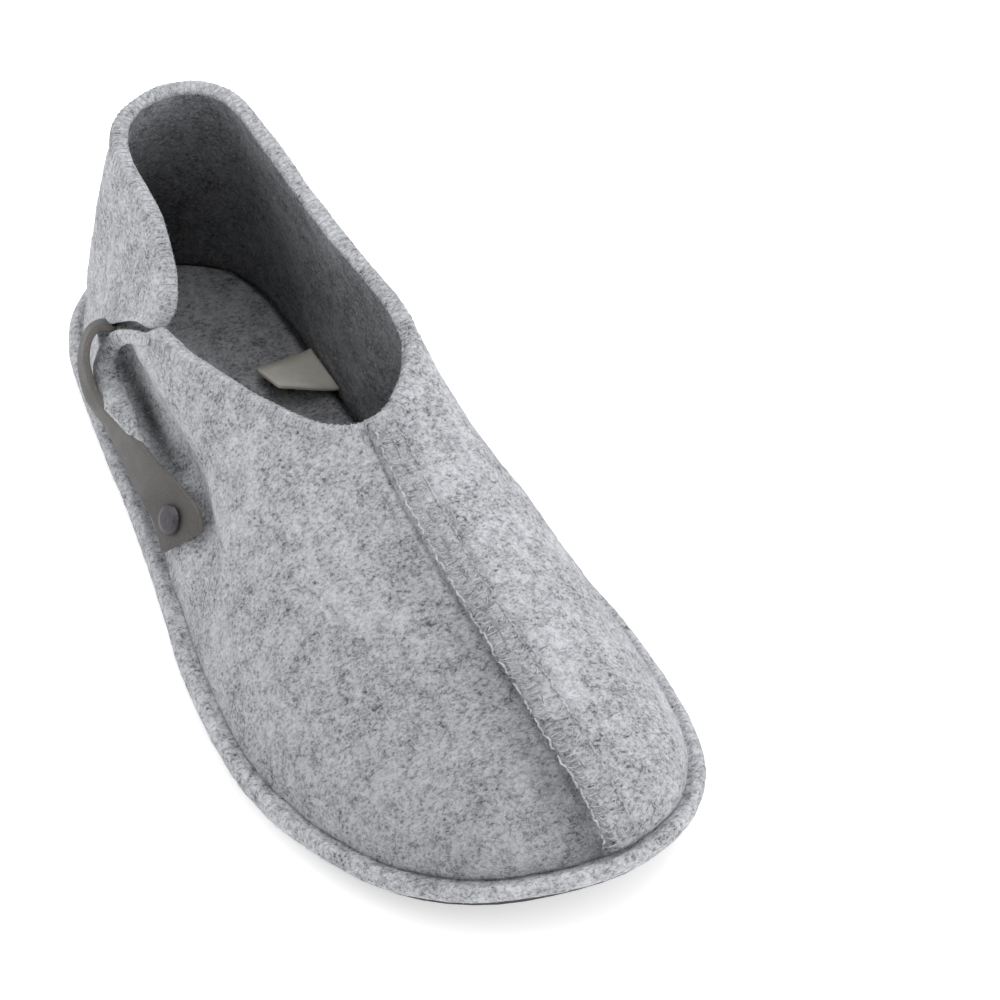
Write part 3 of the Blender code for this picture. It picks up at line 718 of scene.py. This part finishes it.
collar = {
    "pitch": 0.0019, "thread": 0.00018, "wall": 0.0045, "outside": 0.0040, "inside": 0.0016, "tall": 0.077,
    "middle": -0.045, "sway": 0.0004, "uneven": (0.85, 1.1), "round": 0.0004, "near": 0.003,
    "lift": 0.00010, "soften": 1e-6, "fewest": 4,
    # the slit, which no loop crosses
    "slit": (-0.0556, -0.0269, 0.056), "slitGap": 0.004,
    # the rim: along, across, height, then the way down the wall: ahead, aside, below
    "line": (
    (0.046, 0.107, 1.000, -0.012, 0.000, 0.30), (0.058, 0.330, 1.000, -0.010, 0.040, 0.30),
    (0.083, 0.430, 1.000, -0.006, 0.060, 0.30), (0.125, 0.465, 1.003, 0.000, 0.070, 0.30),
    (0.218, 0.478, 0.980, 0.004, 0.070, 0.30), (0.325, 0.507, 0.935, 0.008, 0.070, 0.28),
    (0.400, 0.540, 0.915, 0.015, 0.060, 0.26), (0.450, 0.520, 0.895, 0.030, 0.080, 0.18),
    (0.483, 0.410, 0.872, 0.050, 0.150, 0.12), (0.497, 0.345, 0.853, 0.080, 0.170, 0.16),
    (0.509, 0.285, 0.838, 0.115, 0.110, 0.26), (0.520, 0.190, 0.818, 0.137, -0.030, 0.33),
    (0.519, 0.085, 0.806, 0.125, -0.100, 0.30), (0.506, -0.025, 0.792, 0.085, -0.190, 0.24),
    (0.470, -0.150, 0.776, 0.055, -0.210, 0.19), (0.426, -0.245, 0.763, 0.035, -0.190, 0.18),
    (0.377, -0.345, 0.751, 0.015, -0.160, 0.19), (0.330, -0.425, 0.740, -0.010, -0.120, 0.19),
    (0.301, -0.468, 0.733, -0.045, -0.080, 0.16), (0.290, -0.480, 0.728, -0.078, -0.060, 0.145),
    (0.292, -0.425, 0.770, -0.072, -0.110, 0.19), (0.275, -0.335, 0.850, -0.055, -0.170, 0.24),
    (0.232, -0.275, 0.940, -0.035, -0.170, 0.28), (0.165, -0.260, 0.990, -0.022, -0.130, 0.30),
    (0.107, -0.240, 1.000, -0.016, -0.090, 0.30), (0.062, -0.110, 1.000, -0.013, -0.040, 0.30))}
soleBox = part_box("felt_sole")
length = soleBox[1][0] - soleBox[0][0]
halfBall = (soleBox[1][1] - soleBox[0][1]) / 2
tall = collar["tall"]
rimPoints = []
rimWays = []
for along, across, height, ahead, aside, below in collar["line"]:
    rimPoints.append((soleBox[0][0] + along * length, across * halfBall, height * tall))
    rimWays.append(Vector((ahead * length, aside * halfBall, -below * tall)).normalized())
rimPlaces = evenStations(rimPoints, collar["pitch"], closed=True)


def rimWay(place):
    # the way down the wall, mixed from the table's rows, the nearest counting most
    weights = [1 / (collar["soften"] + (place - Vector(point)).length_squared) for point in rimPoints]
    return sum((way * weight for way, weight in zip(rimWays, weights)), Vector()).normalized()


rimRuns = []
for place, ahead in rimPlaces:
    way = rimWay(place)
    way = (way - ahead * way.dot(ahead)).normalized()
    outward = way.cross(ahead).normalized()
    if outward.dot(place - Vector((collar["middle"], 0.0, place.z))) < 0:
        outward = -outward
    if (place - Vector(collar["slit"])).length < collar["slitGap"]:
        continue
    sway = ahead * random.uniform(-collar["sway"], collar["sway"])
    low = collar["outside"] * random.uniform(*collar["uneven"])
    # the loop's points: how far down the wall, and what share of the wall's thickness inward
    loop = ((low, 0), (low * 0.5, 0), (collar["round"], 0), (0, 0.35), (0, 0.7), (collar["round"], 1),
            (collar["inside"], 1))
    run = []
    for down, back in loop:
        aim = place + way * down - outward * collar["wall"] * back + sway * (down / low)
        found, normal, *_ = upperSurface.find_nearest(aim)
        if (found - aim).length < collar["near"]:
            run.append(found + normal * collar["lift"])
    if len(run) >= collar["fewest"]:
        rimRuns.append(run)
rimThread = threadTube("rimThread", rimRuns, collar["thread"], 4, rimLook)
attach(rimThread, "root")
print("collar:", len(rimRuns), "loops")

# felt sole with its rounded lip, darkened with painted shade where it lies close to the insole

sole = {"levels": 2, "wobble": 0.0008, "wobbleSize": 0.015, "nap": 0.0004, "napSize": 0.0022,
        # painted shade in the gap beside the insole, and how close it reaches
        "groove": 0.85, "grooveReach": 0.0035}
soleFelt = copyNode("felt_sole", "soleFelt")
soleFelt.data.materials.append(lightFelt)
subdivide(soleFelt, sole["levels"])
fluff(soleFelt, "soleWobble", sole["wobbleSize"], sole["wobble"])
fluff(soleFelt, "soleNap", sole["napSize"], sole["nap"])
setShade(soleFelt, sole["groove"] * besideInsole(meshPoints(soleFelt), sole["grooveReach"]))
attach(soleFelt, "root")
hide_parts("felt_sole")
print("felt sole:", len(soleFelt.data.polygons), "faces")

# felt roll: the collar's end turned down beside the strap, closing the slit and hiding the fold's root

rollLook = {
    "rise": 0.0022, "sink": 0.0012, "sides": 14, "pitch": 0.0012, "full": 0.0045, "levels": 2,
    "wobble": 0.0009, "wobbleSize": 0.006, "nap": 0.0004, "napSize": 0.0022, "rows": (
    # middle in the photograph, width in pixels, and whether the felt behind it gives its depth
    ((150, 341), 12, True), ((139, 338), 15, False), ((126, 337), 17, False), ((116, 340), 19, False),
    ((109, 350), 20, True), ((105, 364), 24, True), ((109, 383), 28, True), ((116, 401), 28, True),
    ((127, 419), 22, True), ((137, 436), 12, True), ((145, 450), 4, True))}
rollDepths = [feltDepth(*row[0]) if row[2] else None for row in rollLook["rows"]]
known = [i for i, depth in enumerate(rollDepths) if depth is not None]
rollDepths = np.interp(range(len(rollDepths)), known, [rollDepths[i] for i in known])
rollMiddles = [atDepth(*row[0], depth) for row, depth in zip(rollLook["rows"], rollDepths)]
toCamera = viewTurn @ Vector((0, 0, 1))
rollTurns = [2 * math.pi * k / rollLook["sides"] for k in range(rollLook["sides"])]
builder = bmesh.new()
rings = []
for place, ahead in evenStations(rollMiddles, rollLook["pitch"]):
    gaps = [(place - middle).length for middle in rollMiddles]
    near = int(np.argmin(gaps))
    step = near + 1 if near == 0 or (near < len(gaps) - 1 and gaps[near + 1] < gaps[near - 1]) else near - 1
    mix = gaps[near] / (gaps[near] + gaps[step])
    pixels = rollLook["rows"][near][1] * (1 - mix) + rollLook["rows"][step][1] * mix
    breadth = pixels * pixelStep * depthOf(place)
    ahead = (ahead - toCamera * ahead.dot(toCamera)).normalized()
    across = ahead.cross(toCamera)
    ring = []
    for turn in rollTurns:
        up = math.sin(turn)
        height = (rollLook["rise"] if up > 0 else rollLook["sink"]) * min(1, breadth / rollLook["full"])
        corner = place + across * math.cos(turn) * breadth / 2 + toCamera * up * height
        ring.append(builder.verts.new(corner))
    rings.append(ring)
closeRings(builder, rings)
feltRoll = builtPiece(builder, "feltRoll", lightFelt)
subdivide(feltRoll, rollLook["levels"])
fluff(feltRoll, "rollWobble", rollLook["wobbleSize"], rollLook["wobble"])
fluff(feltRoll, "rollNap", rollLook["napSize"], rollLook["nap"])
bpy.ops.object.shade_smooth()
setShade(feltRoll, np.zeros(len(feltRoll.data.vertices)))
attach(feltRoll, "root")
print("felt roll:", len(feltRoll.data.polygons), "faces")

# strap: a leather band that narrows to the slit, its cut edges paler

strap = {
    "thickness": 0.0017, "bevel": 0.00035, "bevelAngle": 55, "smoothAngle": 50, "steps": 60, "smoothing": 3,
    # how far the band lies over the felt, and how far its loop's left edge lies behind its middle
    "lift": 0.0015, "lean": 0.0036,
    # the flat under the rivet: a place in it and two directions
    "seat": (-0.0191, -0.0378, 0.0243), "seatAcross": (0.42, 0.50, 0.74), "seatAhead": (-0.99, 0.01, 0.17),
    # corners of the section in shares of width and thickness, and which of its sides are cut edges
    "section": ((-0.5, -0.5), (-0.17, -0.5), (0.17, -0.5), (0.5, -0.5), (0.5, 0.5), (0.17, 0.5),
                (-0.17, 0.5), (-0.5, 0.5)),
    "cutSides": (3, 7), "rows": (
    # the band's left and right edge in the photograph, and what holds it there
    ((163, 553), (202, 532), "rivet"), ((159, 534), (200, 514), "rivet"), ((152, 516), (189, 496), "rivet"),
    ((142, 499), (175, 480), "rivet"), ((133, 480), (157, 463), "felt"), ((123, 458), (141, 444), "felt"),
    ((114, 439), (126, 428), "felt"), ((103, 420), (112, 412), "felt"),
    # from here the band leaves the felt on edge: the places are the middle of its loop, in metres
    ((89, 401), (99, 396), (-0.0660, -0.0386, 0.0309)), ((82, 380), (91, 377), (-0.0715, -0.0375, 0.0340)),
    ((80, 361), (87, 360), (-0.0745, -0.0366, 0.0372)), ((82, 345), (88, 346), (-0.0759, -0.0358, 0.0396)),
    ((86, 333), (91, 337), (-0.0763, -0.0344, 0.0416)), ((92, 325), (96, 331), (-0.0760, -0.0330, 0.0423)),
    ((102, 321), (104, 328), (-0.0754, -0.0306, 0.0410)),
    ((117, 322), (117, 330), (-0.0749, -0.0272, 0.0386)))}
seatNormal = Vector(strap["seatAhead"]).cross(Vector(strap["seatAcross"])).normalized()
if seatNormal.dot(Vector(shot["place"])) < 0:
    seatNormal = -seatNormal
depths = []
for left, right, holder in strap["rows"]:
    if holder == "rivet":
        seatDepth = (Vector(strap["seat"]) - Vector(shot["place"])).dot(seatNormal)
        pair = [seatDepth / pixelRay(x, y).dot(seatNormal) for x, y in (left, right)]
    elif holder == "felt":
        pair = [feltDepth(x, y) - strap["lift"] for x, y in (left, right)]
    else:
        middle = depthOf(Vector(holder))
        pair = [middle + strap["lean"], middle - strap["lean"]]
    depths.append(pair)
depths = np.array(depths)
for k in range(strap["smoothing"]):
    smooth = depths.copy()
    smooth[1:-1] = (depths[:-2] + 2 * depths[1:-1] + depths[2:]) / 4
    for i, row in enumerate(strap["rows"]):
        if row[2] == "felt":
            depths[i] = np.minimum(smooth[i], depths[i])
        elif row[2] != "rivet":
            depths[i] = smooth[i]
# the band is worked out in millimetres
milli = 1000
edgePlaces = []
for side in (0, 1):
    edge = [atDepth(*row[side], pair[side]) * milli for row, pair in zip(strap["rows"], depths)]
    chain = sum((b - a).length for a, b in zip(edge, edge[1:]))
    edgePlaces.append(evenStations(edge, chain / strap["steps"]))
builder = bmesh.new()
rings = []
for (left, ahead), (right, other) in zip(*edgePlaces):
    across = right - left
    place = (left + right) / 2
    breadth = across.length
    across.normalize()
    ahead = (ahead + other).normalized()
    face = ahead.cross(across).normalized()
    ring = []
    for side, deep in strap["section"]:
        corner = place + across * side * breadth + face * deep * strap["thickness"] * milli
        ring.append(builder.verts.new(corner / milli))
    rings.append(ring)
walls, lids = closeRings(builder, rings)
for i, wall in enumerate(walls):
    wall.material_index = 1 if i % len(strap["section"]) in strap["cutSides"] else 0
for lid in lids:
    lid.material_index = 1
strapBand = builtPiece(builder, "strapBand", strapLeather, strapEdge)
addModifier(strapBand, "BEVEL", width=strap["bevel"], segments=2, limit_method="ANGLE",
            angle_limit=math.radians(strap["bevelAngle"]))
bpy.ops.object.shade_smooth_by_angle(angle=math.radians(strap["smoothAngle"]))
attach(strapBand, "root")
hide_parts("strap")
print("strap ready")

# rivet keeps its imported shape

nodes["rivet"].data.materials.clear()
nodes["rivet"].data.materials.append(rivetMetal)

# size label: bare woven cloth, a little wider than its solid

label = {"wider": 1.35, "narrowing": 0.22, "droop": 0.0012, "levels": 2,
         # how far the free end's two corners are moved
         "heelCorner": (-0.0012, 0.0001, 0.0010), "toeCorner": (-0.0010, -0.0018, 0.0)}
sizeLabel = copyNode("size_label", "sizeLabel")
sizeLabel.data.materials.append(labelCloth)
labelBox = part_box("size_label")
labelMiddle = (labelBox[0][0] + labelBox[1][0]) / 2
subdivide(sizeLabel, label["levels"], "SIMPLE")
points = meshPoints(sizeLabel)
freeShare = np.clip((labelBox[1][1] - points[:, 1]) / (labelBox[1][1] - labelBox[0][1]), 0, 1)
wider = label["wider"] - label["narrowing"] * freeShare
points[:, 0] = labelMiddle + (points[:, 0] - labelMiddle) * wider
points[:, 2] += label["droop"] * freeShare * np.sin(freeShare * math.pi)
toeShare = np.clip((points[:, 0] - points[:, 0].min()) / np.ptp(points[:, 0]), 0, 1)
corner = np.array(label["heelCorner"]) * (1 - toeShare[:, None])
corner = corner + np.array(label["toeCorner"]) * toeShare[:, None]
points += corner * freeShare[:, None] ** 2
setPoints(sizeLabel, points)
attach(sizeLabel, "root")
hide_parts("size_label")

# outsole: base plate with raised, irregular bean-shaped tread

tread = {"relief": 0.0012, "pitch": 0.0078, "row": 0.0056, "long": 0.0082, "wide": 0.0050,
         # rows and columns on each side of the middle, shifts and bend of a shape, its sides and unevenness
         "rows": 10, "columns": 17, "shift": (0.0007, 0.0005), "bend": 0.9, "sides": 14, "uneven": 0.92,
         # clear ground needed round a shape, how deep it starts in the plate, its shoulder and its top
         "margin": 1.12, "root": 0.0003, "shoulder": (0.97, 0.0005), "top": 0.86, "smoothAngle": 55,
         # where the search for the underside starts, and how squarely a face of it looks down
         "below": -0.02, "facing": -0.5}
treadSole = copyNode("outsole", "treadSole")
treadSole.data.materials.append(treadRubber)
under = surfaceOf(treadSole)
points = meshPoints(treadSole)
points[:, 2] = np.maximum(points[:, 2], toeSpring(points[:, 0]) + tread["relief"])
setPoints(treadSole, points)


def underside(x, y):
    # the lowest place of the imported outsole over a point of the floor
    found, normal, *_ = under.ray_cast(Vector((x, y, tread["below"])), Vector((0, 0, 1)))
    return found if found is not None and normal.z < tread["facing"] else None


beans = bmesh.new()
random.seed(11)
beanCount = 0
for j in range(-tread["rows"], tread["rows"] + 1):
    for i in range(-tread["columns"], tread["columns"] + 1):
        shift, sideShift = tread["shift"]
        x = (i + 0.5 * (j % 2)) * tread["pitch"] + random.uniform(-shift, shift)
        y = j * tread["row"] + random.uniform(-sideShift, sideShift)
        turn = random.uniform(0, math.pi)
        bend = random.uniform(-tread["bend"], tread["bend"])
        outline = []
        for k in range(tread["sides"]):
            angle = 2 * math.pi * k / tread["sides"]
            u = math.cos(angle) * (tread["long"] / 2) * random.uniform(tread["uneven"], 1.0)
            v = math.sin(angle) * (tread["wide"] / 2) + bend * (u * u / tread["long"] - tread["long"] / 12)
            outline.append((u * math.cos(turn) - v * math.sin(turn),
                            u * math.sin(turn) + v * math.cos(turn)))
        grounds = [underside(x + u * tread["margin"], y + v * tread["margin"]) for u, v in outline]
        if any(ground is None for ground in grounds):
            continue
        rings = []
        for share, drop in ((1.0, tread["relief"] + tread["root"]), tread["shoulder"], (tread["top"], 0.0)):
            ring = []
            for u, v in outline:
                ground = underside(x + u * share, y + v * share)
                ring.append(beans.verts.new((ground.x, ground.y, ground.z + drop)))
            rings.append(ring)
        closeRings(beans, rings)
        beanCount += 1
treadBeans = builtPiece(beans, "treadBeans", treadRubber)
bpy.ops.object.shade_smooth_by_angle(angle=math.radians(tread["smoothAngle"]))
for piece in (treadSole, treadBeans):
    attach(piece, "root")
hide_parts("outsole")
print("tread:", beanCount, "raised shapes")

# loose fibres standing off the felt, pale outside and darker inside

fuzz = {"outside": 9000, "inside": 2500, "sole": 2500, "long": (0.0007, 0.0017), "thick": 0.000035,
        # how far a fibre stands off and bends, in shares of its length, and its room by the strap
        "stand": 0.35, "leastStand": 0.1, "bend": 0.3, "middleStand": 0.7, "clear": 0.003,
        "soleFacing": -0.5}


def looseFibres(source, count, keep):
    # short bent fibres at random places of a piece's faces
    faces = [face for face in source.data.polygons if keep(face)]
    areas = np.cumsum([face.area for face in faces])
    runs = []
    for k in range(count):
        face = faces[int(np.searchsorted(areas, random.uniform(0, areas[-1])))]
        corners = [source.data.vertices[v].co for v in face.vertices]
        weights = [random.random() for corner in corners]
        start = sum((corner * weight for corner, weight in zip(corners, weights)), Vector()) / sum(weights)
        loose = Vector([random.gauss(0, 1) for axis in range(3)])
        flat = (loose - face.normal * loose.dot(face.normal)).normalized()
        reach = random.uniform(*fuzz["long"])
        stand = random.uniform(fuzz["leastStand"], 1) * fuzz["stand"] * reach
        turn = face.normal.cross(flat) * random.uniform(-fuzz["bend"], fuzz["bend"]) * reach
        runs.append([start, start + flat * reach * 0.5 + face.normal * stand * fuzz["middleStand"] + turn,
                     start + flat * reach + face.normal * stand])
    return runs


strapSurface = surfaceOf(strapBand)
random.seed(23)
outsideRuns = looseFibres(feltUpper, fuzz["outside"], lambda face: face.material_index == 0
                          and strapSurface.find_nearest(face.center)[3] > fuzz["clear"])
soleRuns = looseFibres(soleFelt, fuzz["sole"], lambda face: face.normal.z > fuzz["soleFacing"])
insideRuns = looseFibres(feltUpper, fuzz["inside"], lambda face: face.material_index == 1)
for name, runs, look, slotName in (("outsideFibres", outsideRuns, paleFibre, "upper_felt"),
                                   ("soleFibres", soleRuns, paleFibre, "sole_felt"),
                                   ("liningFibres", insideRuns, greyFibre, "upper_felt")):
    fibres = threadTube(name, runs, fuzz["thick"], 3, look)
    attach(fibres, "root")
print("fibres:", len(outsideRuns) + len(soleRuns) + len(insideRuns))

# floor and light

stage = {"floorSize": 6.0, "floorColor": (0.92, 0.92, 0.92), "floorRoughness": 0.8, "glow": 0.46,
         "world": 0.68, "aim": (0, 0, 0.03),
         # each light's name, place, size in metres and power in watts
         "lights": (("keyLight", (-0.40, 0.50, 1.40), 1.6, 12.0), ("fillLight", (0.9, 0.8, 0.9), 1.3, 7.5),
                    ("sideLight", (-0.7, -0.9, 0.8), 1.0, 4.0))}
bpy.ops.object.select_all(action="DESELECT")
bpy.ops.mesh.primitive_plane_add(size=stage["floorSize"], location=(0, 0, 0))
floor = bpy.context.active_object
floor.name = "floor"
paleFloor = plainMaterial("paleFloor", stage["floorColor"], stage["floorRoughness"])
paleFloor.node_tree.nodes["Principled BSDF"].inputs["Emission Color"].default_value = (1, 1, 1, 1)
paleFloor.node_tree.nodes["Principled BSDF"].inputs["Emission Strength"].default_value = stage["glow"]
floor.data.materials.append(paleFloor)
for name, place, size, power in stage["lights"]:
    bpy.ops.object.light_add(type="AREA", location=place)
    lamp = bpy.context.active_object
    lamp.name = name
    lamp.data.shape = "SQUARE"
    lamp.data.size = size
    lamp.data.energy = power
    lamp.rotation_euler = (Vector(stage["aim"]) - Vector(place)).to_track_quat("-Z", "Y").to_euler()
world = bpy.data.worlds.new("studio")
bpy.context.scene.world = world
world.use_nodes = True
world.node_tree.nodes["Background"].inputs["Color"].default_value = (1, 1, 1, 1)
world.node_tree.nodes["Background"].inputs["Strength"].default_value = stage["world"]
bpy.context.scene.view_settings.view_transform = "Standard"
print("stage ready")
